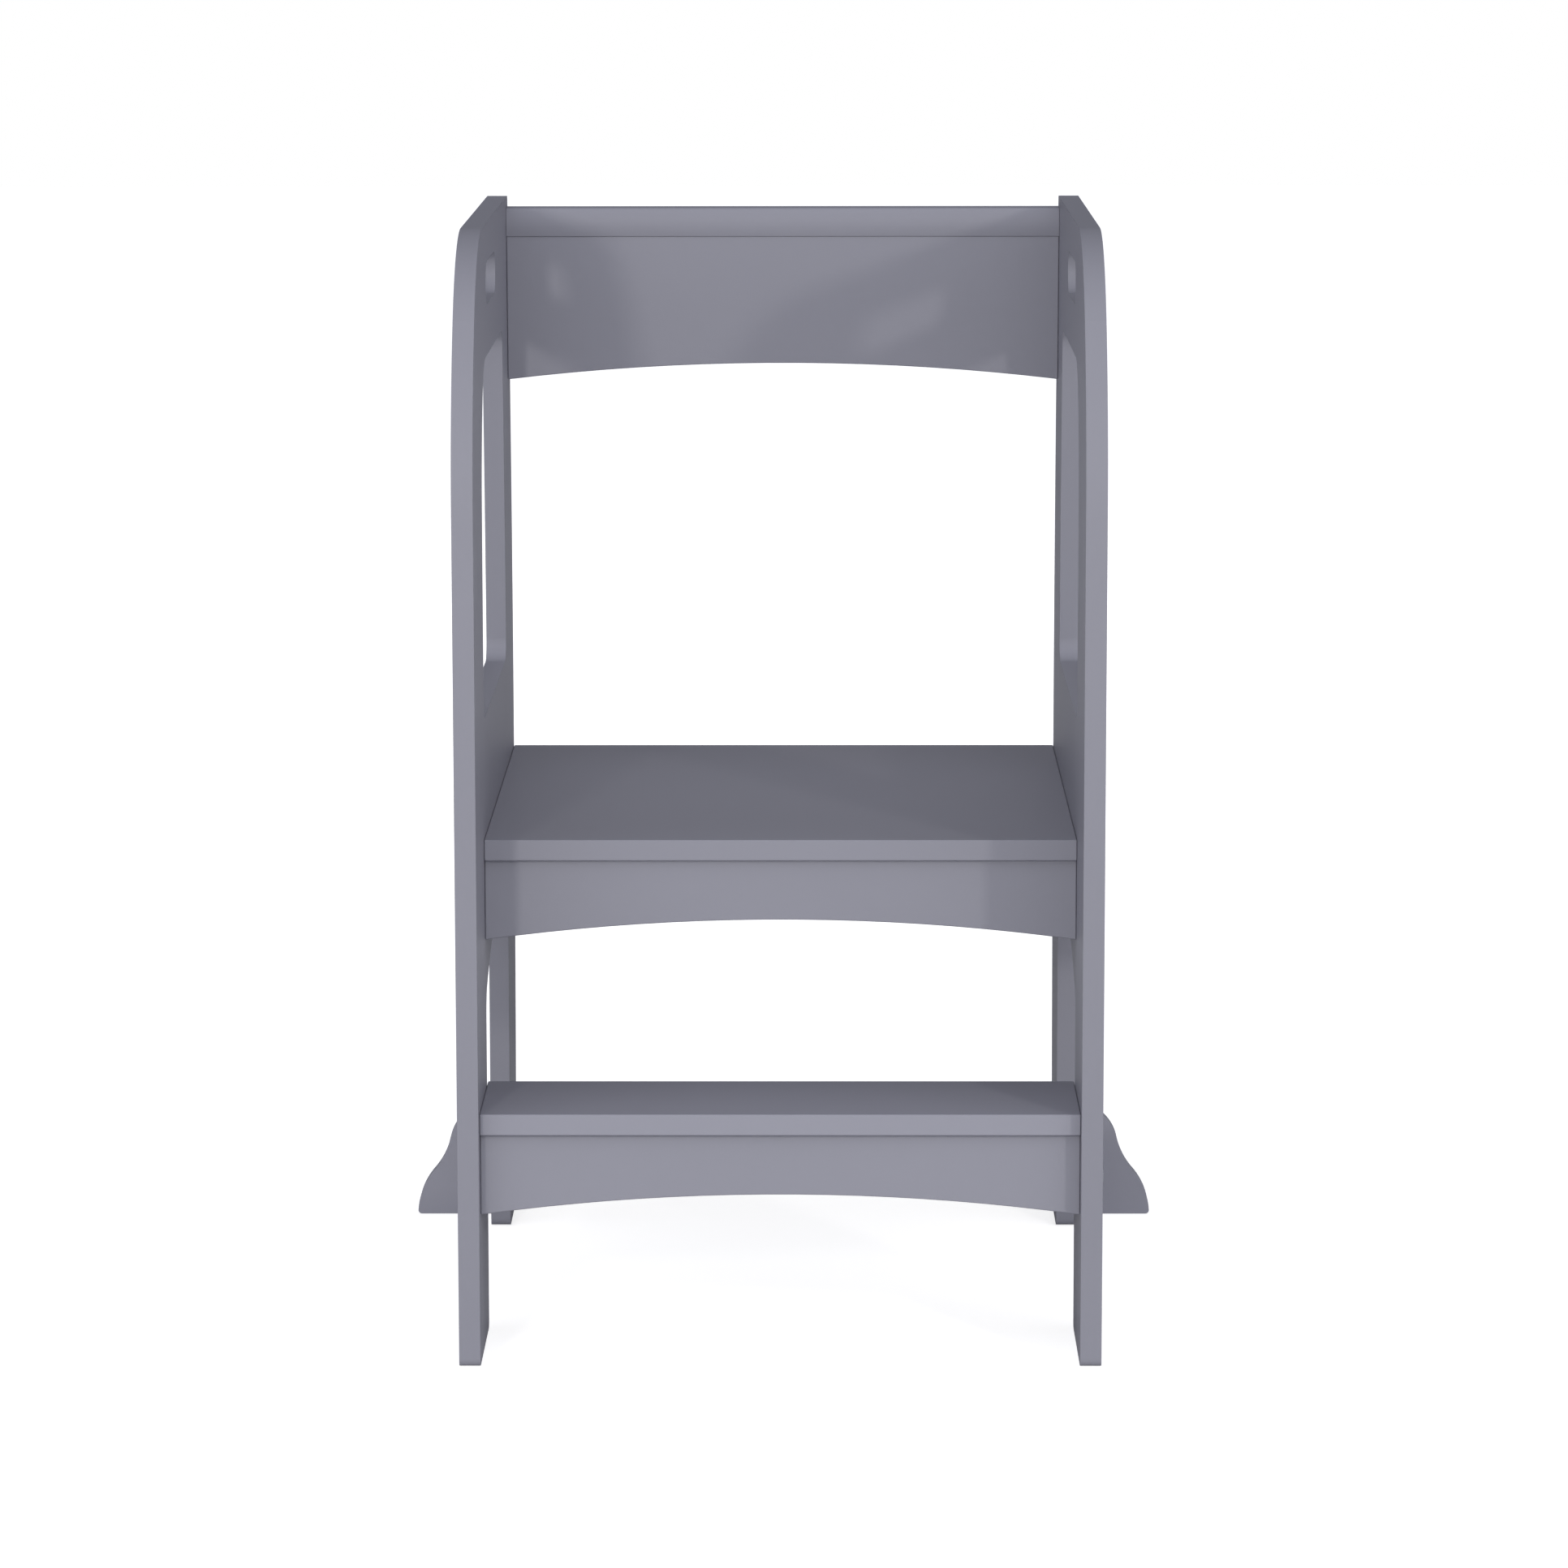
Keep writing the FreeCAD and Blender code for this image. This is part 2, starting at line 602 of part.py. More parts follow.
dowels = []
for name, hand in SIDES:
    x = "(%d * Sizes.dowel_spacing / 2)" % hand
    top = (x,) + on_rail("(Sizes.rail_height + Sizes.dowel_rise)")
    mouth = (x,) + on_rail("(Sizes.rail_height + Sizes.dowel_rise + Sizes.dowel_spare)")
    drill(["rail_panel", "rail_cap"], name + "_dowel_hole", mouth, DOWN_THE_RAIL, cell("dowel_hole"),
          "(Sizes.dowel_length + 2 * Sizes.dowel_spare)")
    dowel = cylinder(name + "_dowel", cell("dowel_diameter"), cell("dowel_length"))
    aim(dowel, top, DOWN_THE_RAIL)
    dowels.append(dowel)
group("rail_cap_dowels", dowels)

# ---------------------------------------------------------------- finished pieces
pieces = []
for label, blank in blanks.items():
    if label not in drillings:
        blank.Label = label
        pieces.append(blank)
        continue
    bores = doc.addObject("Part::MultiFuse", label + "_bores")
    bores.Shapes = drillings[label]
    drilled = doc.addObject("Part::Cut", label)
    drilled.Base = blank
    drilled.Tool = bores
    pieces.append(drilled)
pieces.extend(fasteners)
doc.recompute()

# ---------------------------------------------------------------- checks and export
for item in doc.Objects:
    if "Invalid" in item.State or "Error" in item.State:
        raise RuntimeError("%s failed: %s" % (item.Name, item.State))
for label, bores in drillings.items():
    blank = blanks[label].Shape
    chips = [bore.Shape.common(blank).Volume for bore in bores]
    if min(chips) < SLIVER:
        raise RuntimeError("a hole of %s cuts nothing" % label)
    if abs(blank.Volume - doc.getObject(label).Shape.Volume - sum(chips)) > SLIVER:
        raise RuntimeError("the holes of %s don't add up" % label)

os.makedirs("parts", exist_ok=True)
for piece in pieces:
    shape = piece.Shape
    if shape.isNull() or not shape.isValid():
        raise RuntimeError("%s has no valid shape" % piece.Label)
    shape.exportStep(os.path.join("parts", piece.Label + ".step"))
    box = shape.BoundBox
    print("%-22s %2d solids  %.0f x %.0f x %.0f mm  %.1f cm3" % (
        piece.Label, len(shape.Solids), box.XLength, box.YLength, box.ZLength, shape.Volume / 1000))
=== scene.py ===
# %% [markdown]
# # A painted kitchen helper stool
#
# A kitchen helper lifts a small child to the height of a counter. This one has two sides cut from one
# sheet each, a step, a platform, a guard rail that leans over the platform and two small stabilisers.
# Everything is sprayed in the same cool grey satin paint, so the picture depends on soft light, crisp
# edges and a paint film that looks like paint and not like plastic.
#
# The shapes of the boards come packed from the CAD model and stay as they are. This lesson sets up the
# camera, the floor and the light, mixes the finishes, and turns the fasteners in detail.

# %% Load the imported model
import json
import math

import bpy
import numpy as np
from mathutils import Matrix, Vector

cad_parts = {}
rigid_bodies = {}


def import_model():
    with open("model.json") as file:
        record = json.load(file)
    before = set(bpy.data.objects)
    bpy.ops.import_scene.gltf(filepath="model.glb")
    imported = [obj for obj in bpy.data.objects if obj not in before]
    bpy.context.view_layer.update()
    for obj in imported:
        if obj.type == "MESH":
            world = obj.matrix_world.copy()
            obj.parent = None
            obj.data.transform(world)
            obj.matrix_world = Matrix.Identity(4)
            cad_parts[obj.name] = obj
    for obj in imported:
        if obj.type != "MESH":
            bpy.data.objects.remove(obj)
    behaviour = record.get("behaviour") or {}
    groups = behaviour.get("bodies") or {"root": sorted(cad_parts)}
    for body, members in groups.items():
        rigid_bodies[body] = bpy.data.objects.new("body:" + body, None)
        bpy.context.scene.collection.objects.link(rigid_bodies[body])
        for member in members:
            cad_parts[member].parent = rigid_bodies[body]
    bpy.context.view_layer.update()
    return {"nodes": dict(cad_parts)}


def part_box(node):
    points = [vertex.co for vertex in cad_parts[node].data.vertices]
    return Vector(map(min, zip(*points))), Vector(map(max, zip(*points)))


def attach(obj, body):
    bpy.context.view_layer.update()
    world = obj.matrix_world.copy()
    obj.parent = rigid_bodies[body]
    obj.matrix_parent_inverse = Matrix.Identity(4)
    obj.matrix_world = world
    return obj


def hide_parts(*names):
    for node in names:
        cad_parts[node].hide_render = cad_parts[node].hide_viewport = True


# Blender's own first cube, lamp and camera are cleared away before the model comes in.
for leftover in list(bpy.data.objects):
    bpy.data.objects.remove(leftover, do_unlink=True)
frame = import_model()
nodes = frame["nodes"]

# %% [markdown]
# ## The camera
#
# Product photographs of furniture are taken from far away with a long lens, so that upright edges stay
# nearly parallel. The place, the tilt and the lens below were worked out from the corners of the boards.
# A camera can be turned with Euler angles, with a Track To constraint or with a matrix. The matrix is
# used here, because its three columns are simply the camera's right, up and backward directions.

# %% Where the camera stands and looks
MM = 0.001
SENSOR_WIDTH = 36.0            # mm
LENS = 139.29                  # mm
EYE = Vector((25.4, -4715.2, 1157.3)) * MM
YAW = math.radians(0.287)      # towards -X
PITCH = math.radians(9.163)    # downwards
ROLL = math.radians(-0.057)

forward = Vector((-math.sin(YAW) * math.cos(PITCH), math.cos(YAW) * math.cos(PITCH), -math.sin(PITCH)))
level_right = Vector((math.cos(YAW), math.sin(YAW), 0.0))
level_up = level_right.cross(forward)
right = level_right * math.cos(ROLL) + level_up * math.sin(ROLL)
up = level_up * math.cos(ROLL) - level_right * math.sin(ROLL)

# %% Make the camera
FAR_CLIP = 60.0                # m, well past the far corner of the floor

lens = bpy.data.cameras.new("studio_camera")
lens.sensor_fit = "HORIZONTAL"
lens.sensor_width = SENSOR_WIDTH
lens.lens = LENS
lens.clip_end = FAR_CLIP
camera = bpy.data.objects.new("studio_camera", lens)
bpy.context.scene.collection.objects.link(camera)
camera.matrix_world = Matrix((
    (right.x, up.x, -forward.x, EYE.x),
    (right.y, up.y, -forward.y, EYE.y),
    (right.z, up.z, -forward.z, EYE.z),
    (0.0, 0.0, 0.0, 1.0)))
bpy.context.scene.camera = camera
bpy.context.scene.view_settings.view_transform = "Standard"
print("camera looks along", [round(v, 3) for v in forward])

# %% [markdown]
# ## Small helpers for node trees
#
# Building node trees by hand takes many lines, so a few helpers are made first. One adds a node and
# fills its inputs, with a link where it is given a socket and with a plain value otherwise. Three more
# stand for the nodes that are used most: maths, a change of range and a mix of two colours. The last two
# turn a colour as it looks on a screen into the linear numbers that nodes take, and start an empty
# material. Everything after them reads like a recipe.

# %% Node helpers
def add_node(tree, kind, inputs=None, **settings):
    """Add a node, set its properties from the keywords and its inputs from the dictionary."""
    node = tree.nodes.new(kind)
    for name, value in settings.items():
        setattr(node, name, value)
    for name, value in (inputs or {}).items():
        if isinstance(value, bpy.types.NodeSocket):
            tree.links.new(value, node.inputs[name])
        else:
            node.inputs[name].default_value = value
    return node


def maths(tree, operation, *values):
    """Result of a Math node on one to three values, each a number or a socket."""
    return add_node(tree, "ShaderNodeMath", dict(enumerate(values)), operation=operation).outputs[0]


def map_range(tree, value, from_min, from_max, to_min, to_max):
    """Value moved from one range to another; the ends of the new range are numbers or sockets."""
    return add_node(tree, "ShaderNodeMapRange", {
        "Value": value, "From Min": from_min, "From Max": from_max, "To Min": to_min,
        "To Max": to_max}).outputs[0]


def mix_colours(tree, mask, first, second, blend="MIX"):
    """Colour that is `first` where the mask is 0 and `second` laid on it where the mask is 1."""
    # A Mix node for colours takes its mask in input 0 and the colours in 6 and 7, and gives output 2.
    return add_node(tree, "ShaderNodeMix", {0: mask, 6: first, 7: second},
                    data_type="RGBA", blend_type=blend).outputs[2]


# %% Colours and empty materials
def linear(red, green, blue):
    """Colour written as it looks on a screen, 0 to 255, turned into linear values by the sRGB curve."""
    parts = np.array([red, green, blue]) / 255.0
    low = parts / 12.92
    high = ((parts + 0.055) / 1.055) ** 2.4
    return tuple(float(v) for v in np.where(parts <= 0.04045, low, high)) + (1.0,)


def blank_material(name):
    """New material without any nodes, and its node tree."""
    material = bpy.data.materials.new(name)
    material.use_nodes = True
    material.node_tree.nodes.clear()
    return material, material.node_tree


PURE_WHITE = linear(255, 255, 255)
print("a grey of 128 on the screen is", round(linear(128, 128, 128)[0], 3), "in linear light")

# %% [markdown]
# ## The floor and the white surroundings
#
# The stool was photographed in a white studio. White can be had by pouring light on a floor until it
# clips, but that would burn out the stool too. Instead the world and the floor answer a camera ray, or
# a ray through glass, with white, and answer every other ray with the plain level that lights the
# object. Light Path tells them apart. The studio is bright in front and dim behind, as the shaded inner
# faces of the sides show, so the light fades from the front half to the back half by the direction's Y.
# Glossy rays get halves of their own: the screws mirror a white studio in front, and the level boards,
# seen at a flat angle, don't turn milky with a mirrored backdrop. The floor keeps a real diffuse colour,
# so it throws light up under the boards and holds the stool's soft shadow.

# %% The world
FRONT, BACK = 0.92, 0.12       # level of the light from the half in front and from the half behind
MIRRORED_FRONT, MIRRORED_BACK = 1.00, 0.10   # the same two halves, as reflections show them
WALL_TINT = (244, 246, 255)    # the pale walls are a little cooler than the lamps
WHITE_LEVEL = 1.0              # level of the studio for the camera and through glass
BLEND = 0.35                   # the two halves blend where a direction's Y lies within this of zero


def seen_directly(tree):
    """1 for a ray straight from the camera or through glass, 0 for every other ray."""
    rays = add_node(tree, "ShaderNodeLightPath").outputs
    return maths(tree, "MAXIMUM", rays["Is Camera Ray"], rays["Is Transmission Ray"])


world = bpy.data.worlds.new("white_studio")
bpy.context.scene.world = world
world.use_nodes = True
tree = world.node_tree
tree.nodes.clear()

direct = seen_directly(tree)
glossy = add_node(tree, "ShaderNodeLightPath").outputs["Is Glossy Ray"]
direction = add_node(tree, "ShaderNodeTexCoord").outputs["Generated"]
depthwise = add_node(tree, "ShaderNodeSeparateXYZ", {"Vector": direction}).outputs["Y"]
lighting = map_range(tree, depthwise, -BLEND, BLEND, FRONT, BACK)
mirrored = map_range(tree, depthwise, -BLEND, BLEND, MIRRORED_FRONT, MIRRORED_BACK)
bounced = map_range(tree, glossy, 0.0, 1.0, lighting, mirrored)
sky = add_node(tree, "ShaderNodeBackground", {
    "Color": mix_colours(tree, direct, linear(*WALL_TINT), PURE_WHITE),
    "Strength": map_range(tree, direct, 0.0, 1.0, bounced, WHITE_LEVEL)})
add_node(tree, "ShaderNodeOutputWorld", {"Surface": sky.outputs[0]})
print("light from the front:", FRONT, "from behind:", BACK)

# %% The floor
FLOOR_REACH = 14.0             # m, half the side of the square of floor
FLOOR_DROP = 0.0004            # m, a hair below the feet, so that the two don't share one plane
FLOOR_COLOUR = (232, 232, 232)
FLOOR_GLOW = 0.72              # white that the camera sees on top of the floor's own lit colour

floor_corners = np.array([[-1, -1], [1, -1], [1, 1], [-1, 1]]) * FLOOR_REACH
floor_mesh = bpy.data.meshes.new("studio_floor")
floor_mesh.from_pydata(
    np.column_stack([floor_corners, np.full(4, -FLOOR_DROP)]).tolist(), [], [(0, 1, 2, 3)])
floor = bpy.data.objects.new("studio_floor", floor_mesh)
bpy.context.scene.collection.objects.link(floor)

floor_paint, tree = blank_material("white_studio_floor")
matt = add_node(tree, "ShaderNodeBsdfDiffuse", {"Color": linear(*FLOOR_COLOUR)})
glow = add_node(tree, "ShaderNodeEmission", {
    "Color": PURE_WHITE, "Strength": map_range(tree, seen_directly(tree), 0.0, 1.0, 0.0, FLOOR_GLOW)})
both = add_node(tree, "ShaderNodeAddShader", {0: matt.outputs[0], 1: glow.outputs[0]})
add_node(tree, "ShaderNodeOutputMaterial", {"Surface": both.outputs[0]})
floor_mesh.materials.append(floor_paint)
print("floor:", 2 * FLOOR_REACH, "m wide")

# %% [markdown]
# ## The lamps
#
# The white studio gives the soft part of the light. Small soft boxes in front give the rest: one to the
# left of the camera and one further to the right, both about as high as the camera, and a weak one in
# the middle that keeps their shadows from going flat and dead. The places of the first two can be read
# from the shadows: the front edges of the sides throw soft bands on the ends of the aprons, and each
# hand slot throws a pale lens-shaped patch on the guard rail. The line from the patch through its slot
# points at the lamp, and how blurred the patch is gives the lamp's size. A sun would draw these edges
# too hard, so small area lamps were chosen. A dim fill keeps the back readable.

# %% Soft boxes
AIM = Vector((0.0, 0.20, 0.75))    # m, the guard rail, where the slots' patches fall
LAMP_COLOUR = (1.0, 0.975, 0.92)   # linear, a little warmer than the walls


def soft_box(name, azimuth, elevation, distance, side, watts):
    """Square area lamp that faces AIM from `distance`; azimuth 0 is straight in front, + to the right."""
    across, above = math.radians(azimuth), math.radians(elevation)
    away = Vector((math.sin(across) * math.cos(above), -math.cos(across) * math.cos(above), math.sin(above)))
    data = bpy.data.lights.new(name, "AREA")
    data.shape = "SQUARE"
    data.size = side
    data.energy = watts
    data.color = LAMP_COLOUR
    lamp = bpy.data.objects.new(name, data)
    bpy.context.scene.collection.objects.link(lamp)
    lamp.location = AIM + away * distance
    lamp.rotation_euler = away.to_track_quat("Z", "Y").to_euler()
    lamp.visible_camera = False
    return lamp


soft_box("front_soft_box", azimuth=0.0, elevation=5.0, distance=2.5, side=0.45, watts=2.0)
soft_box("left_soft_box", azimuth=-14.5, elevation=5.7, distance=3.2, side=0.16, watts=13.0)
soft_box("right_soft_box", azimuth=30.3, elevation=10.8, distance=3.2, side=0.16, watts=11.3)
back_fill = soft_box("back_fill", azimuth=180.0, elevation=25.0, distance=5.0, side=1.2, watts=38.0)
back_fill.visible_glossy = False

# %% [markdown]
# ## What a sprayed satin film looks like
#
# Paint on board is never one flat value. It levels into a faint orange peel about a millimetre wide, its
# thickness drifts from hand to hand of the gun, and it thins out on every sharp edge, where it is also
# handled most. Two shader node groups hold these effects. They could be repeated in each material, but
# a group is written once and each board gives it its own values. The groups put out colours, masks and
# normals only; the Principled shader stays in the material.

# %% Helpers for groups
FLOAT, COLOR, VECTOR = "NodeSocketFloat", "NodeSocketColor", "NodeSocketVector"


def new_group(name, inputs, outputs):
    """Empty shader group with named sockets: lists of (name, socket type, default)."""
    group = bpy.data.node_groups.new(name, "ShaderNodeTree")
    for label, kind, default in inputs:
        socket = group.interface.new_socket(name=label, in_out="INPUT", socket_type=kind)
        socket.default_value = default
    for label, kind in outputs:
        group.interface.new_socket(name=label, in_out="OUTPUT", socket_type=kind)
    return group, add_node(group, "NodeGroupInput").outputs, add_node(group, "NodeGroupOutput").inputs


def scaled_noise(tree, vector, size, detail, roughness=0.5):
    """Noise whose blobs are `size` metres across; `size` is a number or a socket."""
    return add_node(tree, "ShaderNodeTexNoise", {
        "Vector": vector, "Scale": maths(tree, "DIVIDE", 1.0, size), "Detail": detail,
        "Roughness": roughness}).outputs[0]


# %% The film: patches, orange peel and drift of gloss
RIPPLE_SIZE = 0.011            # m, the longer waves that the gun leaves
RIPPLE_SHARE = 2.2             # how high they are against the orange peel
GRIT = 0.03                    # how much rougher the film is on the crests of the peel

# Sizes of the group's own inputs are in metres too.
film, inlet, outlet = new_group(
    "sprayed_film",
    [("Colour", COLOR, linear(150, 150, 160)), ("Offset", VECTOR, (0.0, 0.0, 0.0)),
     ("Patch Size", FLOAT, 0.16), ("Patch Strength", FLOAT, 0.05),
     ("Peel Size", FLOAT, 0.0013), ("Gloss Drift", FLOAT, 0.06), ("Roughness", FLOAT, 0.4)],
    [("Colour", COLOR), ("Roughness", FLOAT), ("Height", FLOAT)])

place = add_node(film, "ShaderNodeTexCoord").outputs["Object"]
moved = add_node(film, "ShaderNodeVectorMath", {0: place, 1: inlet["Offset"]}, operation="ADD").outputs[0]
patches = scaled_noise(film, moved, inlet["Patch Size"], detail=2.0)
peel = scaled_noise(film, moved, inlet["Peel Size"], detail=1.0)
ripple = scaled_noise(film, moved, RIPPLE_SIZE, detail=2.0)
centred = maths(film, "SUBTRACT", patches, 0.5)
tone = maths(film, "MULTIPLY_ADD", centred, inlet["Patch Strength"], 1.0)
drift = maths(film, "MULTIPLY_ADD", centred, inlet["Gloss Drift"], inlet["Roughness"])
toned = add_node(film, "ShaderNodeVectorMath", {0: inlet["Colour"], "Scale": tone}, operation="SCALE")
film.links.new(toned.outputs[0], outlet["Colour"])
film.links.new(maths(film, "MULTIPLY_ADD", peel, GRIT, drift), outlet["Roughness"])
film.links.new(maths(film, "MULTIPLY_ADD", ripple, RIPPLE_SHARE, peel), outlet["Height"])
print("film:", len(film.nodes), "nodes")

# %% Eased edges: where the film is thin and rubbed
BEVEL_SAMPLES = 6
EDGE_BEGINS, EDGE_FULL = 0.995, 0.80   # cosine between the flat face and the eased normal
SPOT_SIZE = 0.03               # m, the rubbed lengths of an edge
SPOT_DETAIL, SPOT_ROUGHNESS = 4.0, 0.65
RUB_BEGINS, RUB_FULL = 0.42, 0.62      # levels of the spots' noise

edges, inlet, outlet = new_group(
    "eased_edges", [("Radius", FLOAT, 0.0005), ("Wear", FLOAT, 0.5)],
    [("Mask", FLOAT), ("Normal", VECTOR)])
rounded = add_node(edges, "ShaderNodeBevel", {"Radius": inlet["Radius"]}, samples=BEVEL_SAMPLES).outputs[0]
flat = add_node(edges, "ShaderNodeNewGeometry").outputs["True Normal"]
alike = add_node(edges, "ShaderNodeVectorMath", {0: rounded, 1: flat}, operation="DOT_PRODUCT").outputs["Value"]
near_edge = map_range(edges, alike, EDGE_BEGINS, EDGE_FULL, 0.0, 1.0)
place = add_node(edges, "ShaderNodeTexCoord").outputs["Object"]
spots = scaled_noise(edges, place, SPOT_SIZE, SPOT_DETAIL, SPOT_ROUGHNESS)
rubbed = map_range(edges, spots, RUB_BEGINS, RUB_FULL, 0.0, 1.0)
broken = maths(edges, "MULTIPLY", near_edge, rubbed)
edges.links.new(maths(edges, "MULTIPLY", broken, inlet["Wear"]), outlet["Mask"])
edges.links.new(rounded, outlet["Normal"])
print("groups:", [g.name for g in bpy.data.node_groups])

# %% [markdown]
# ## The grey paint of each board
#
# All boards wear the same paint, and each was sprayed on its own. So every board gets its own material
# from one function: the same recipe with the pattern moved elsewhere and the tone up to four hundredths
# lighter or darker. The tones of the step, the stabilisers and the sides are painted light and painted
# shade: the step and the stabilisers are painted lighter for light that this simple studio lacks near the
# floor, and the sides are painted darker for the front light that falls too brightly on their edges and
# inner faces. The sides and the stabilisers are routed all round and stay a little rougher than the step
# and the platform, which are sanded smooth for small feet.

# %% Paint recipe
PAINT = (151, 151, 161)        # how the paint looks under plain light
WORN_PAINT = (176, 176, 183)   # thin film over the primer on an edge
PAINT_SHEEN = 0.25             # specular level of the film
PEEL_DEPTH = 0.00006           # m, height of the orange peel
PEEL_STRENGTH = 0.35
EDGE_WEAR = 0.35               # how far a rubbed edge goes from the paint to the worn paint
EDGE_DRYNESS = 0.2             # how much rougher it is there


def sprayed_paint(name, tone, offset, roughness):
    """Material of one board: paint colour times `tone`, which paints light and shade into it, its pattern moved
    by `offset` metres.
    """
    material, tree = blank_material(name)
    body = add_node(tree, "ShaderNodeGroup", node_tree=film)
    # The tone paints light and shade into the colour of the paint.
    body.inputs["Colour"].default_value = linear(*[channel * tone for channel in PAINT])
    body.inputs["Offset"].default_value = offset
    body.inputs["Roughness"].default_value = roughness
    rim = add_node(tree, "ShaderNodeGroup", node_tree=edges)
    rim.inputs["Wear"].default_value = EDGE_WEAR
    bump = add_node(tree, "ShaderNodeBump", {
        "Strength": PEEL_STRENGTH, "Distance": PEEL_DEPTH, "Height": body.outputs["Height"],
        "Normal": rim.outputs["Normal"]})
    shader = add_node(tree, "ShaderNodeBsdfPrincipled", {
        "Base Color": mix_colours(tree, rim.outputs["Mask"], body.outputs["Colour"], linear(*WORN_PAINT)),
        "Roughness": maths(tree, "MULTIPLY_ADD", rim.outputs["Mask"], EDGE_DRYNESS, body.outputs["Roughness"]),
        "Normal": bump.outputs[0], "Specular IOR Level": PAINT_SHEEN})
    add_node(tree, "ShaderNodeOutputMaterial", {"Surface": shader.outputs[0]})
    return material


# %% Paint the boards
BOARDS = {                     # node: tone with its painted light and shade, where its pattern starts, roughness
    # The sides are painted darker: painted shade for the front light that falls on them too brightly.
    "side_panel_left": (0.965, (3.1, 0.4, 0.0), 0.50),
    "side_panel_right": (0.96, (7.7, 2.9, 1.3), 0.50),
    "platform_board": (1.0, (1.9, 5.2, 0.7), 0.46),
    "platform_apron_front": (1.0, (4.4, 8.1, 2.2), 0.48),
    "platform_apron_rear": (0.99, (9.3, 1.6, 4.4), 0.48),
    # The step is painted lighter: painted light that the studio lacks near the floor.
    "step_board": (1.03, (6.2, 6.8, 3.5), 0.46),
    "step_apron": (1.0, (2.5, 3.3, 6.1), 0.48),
    "rail_panel": (1.0, (8.8, 7.4, 5.9), 0.47),
    "rail_cap": (1.0, (5.6, 9.9, 8.3), 0.47),
    # The stabilisers are painted lighter: painted light that the studio lacks near the floor.
    "stabiliser_left": (1.04, (0.8, 4.9, 9.2), 0.50),
    "stabiliser_right": (1.04, (3.9, 0.2, 7.1), 0.50),
}
for board, (tone, offset, roughness) in BOARDS.items():
    shown = nodes[board].data
    shown.materials.clear()
    shown.materials.append(sprayed_paint(board + "_paint", tone, offset, roughness))
print("painted boards:", len(BOARDS))

# %% [markdown]
# ## Turning a shape on a grid
#
# A screw and a dowel are both turned shapes with something added: a hexagon socket, a thread, flutes. A
# Screw modifier would only turn a plain profile. Here every shape is a grid of two parameters, the angle
# round the axis and the station along it, and numpy works out the radius for the whole grid at once, so
# that the socket and the thread are just terms in the radius. One point closes each end.

# %% Lathe
X_AXIS, Z_AXIS = np.array([1.0, 0.0, 0.0]), np.array([0.0, 0.0, 1.0])
NEARLY_ALONG = 0.9             # an axis this close to X takes Z to find its sideways direction


def around(columns):
    """Angles of the columns of a grid, evenly spaced over one full turn."""
    return np.arange(columns) * (2 * math.pi / columns)


def lathe(radius, along, start, axis):
    """Closed turned shape: its points, its quads and the triangles that close both ends.

    Point = start + axis * along + radius * (cos(angle) * side + sin(angle) * other side), for a grid
    with one row for each station and one column for each angle.
    """
    stations, columns = radius.shape
    angle = around(columns)
    axis = np.asarray(axis, dtype=float) / np.linalg.norm(axis)
    side = np.cross(axis, X_AXIS if abs(axis @ X_AXIS) < NEARLY_ALONG else Z_AXIS)
    side = side / np.linalg.norm(side)
    other = np.cross(axis, side)
    ring = np.cos(angle)[:, None] * side + np.sin(angle)[:, None] * other
    grid = start + along[..., None] * axis + radius[..., None] * ring[None, :, :]
    ends = start + np.array([along[0].mean(), along[-1].mean()])[:, None] * axis
    index = np.arange(stations * columns).reshape(stations, columns)
    turned = np.roll(index, -1, axis=1)
    quads = np.stack([index[:-1], turned[:-1], turned[1:], index[1:]], axis=-1).reshape(-1, 4)
    tip = np.full(columns, stations * columns)
    first = np.stack([turned[0], index[0], tip], axis=-1)
    last = np.stack([index[-1], turned[-1], tip + 1], axis=-1)
    return np.vstack([grid.reshape(-1, 3), ends]), quads, np.vstack([first, last])


# %% One mesh for a node
SHARP_ANGLE = math.radians(35)   # edges that turn more than this stay crisp


def signed_volume(points, quads, triangles):
    """Volume inside a closed mesh: a sixth of the sum of its triangles' triple products, + if outward."""
    halves = np.vstack([quads[:, [0, 1, 2]], quads[:, [0, 2, 3]], triangles])
    a, b, c = points[halves].transpose(1, 0, 2)
    return float((a * np.cross(b, c)).sum() / 6)


def one_piece(name, parts, node, material):
    """Join (points, quads, triangles) parts into one smooth mesh that stands for a CAD node."""
    offsets = np.cumsum([0] + [len(points) for points, quads, triangles in parts])[:len(parts)]
    points = np.vstack([part[0] for part in parts])
    quads = np.vstack([part[1] + offset for part, offset in zip(parts, offsets)])
    triangles = np.vstack([part[2] + offset for part, offset in zip(parts, offsets)])
    mesh = bpy.data.meshes.new(name)
    mesh.from_pydata(points.tolist(), [], quads.tolist() + triangles.tolist())
    mesh.polygons.foreach_set("use_smooth", np.ones(len(mesh.polygons), dtype=bool))
    mesh.set_sharp_from_angle(angle=SHARP_ANGLE)
    mesh.update()
    mesh.materials.append(material)
    piece = bpy.data.objects.new(name, mesh)
    bpy.context.scene.collection.objects.link(piece)
    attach(piece, "root")
    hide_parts(node)
    volume = sum(signed_volume(*part) for part in parts) / MM ** 3
    print(name, len(mesh.polygons), "faces, volume", round(volume), "mm3")


# %% [markdown]
# ## Bright zinc on the screws
#
# Furniture screws are rolled from wire, tumbled and plated. The plating is a bright bluish metal with
# fine tumbling marks and cloudy duller spots, and the socket goes dark by itself, because little light
# gets into it. A metallic Principled shader with noise in its roughness and a darker tint in the clouds
# is closer to it than a mirror, and it still shows the white studio.

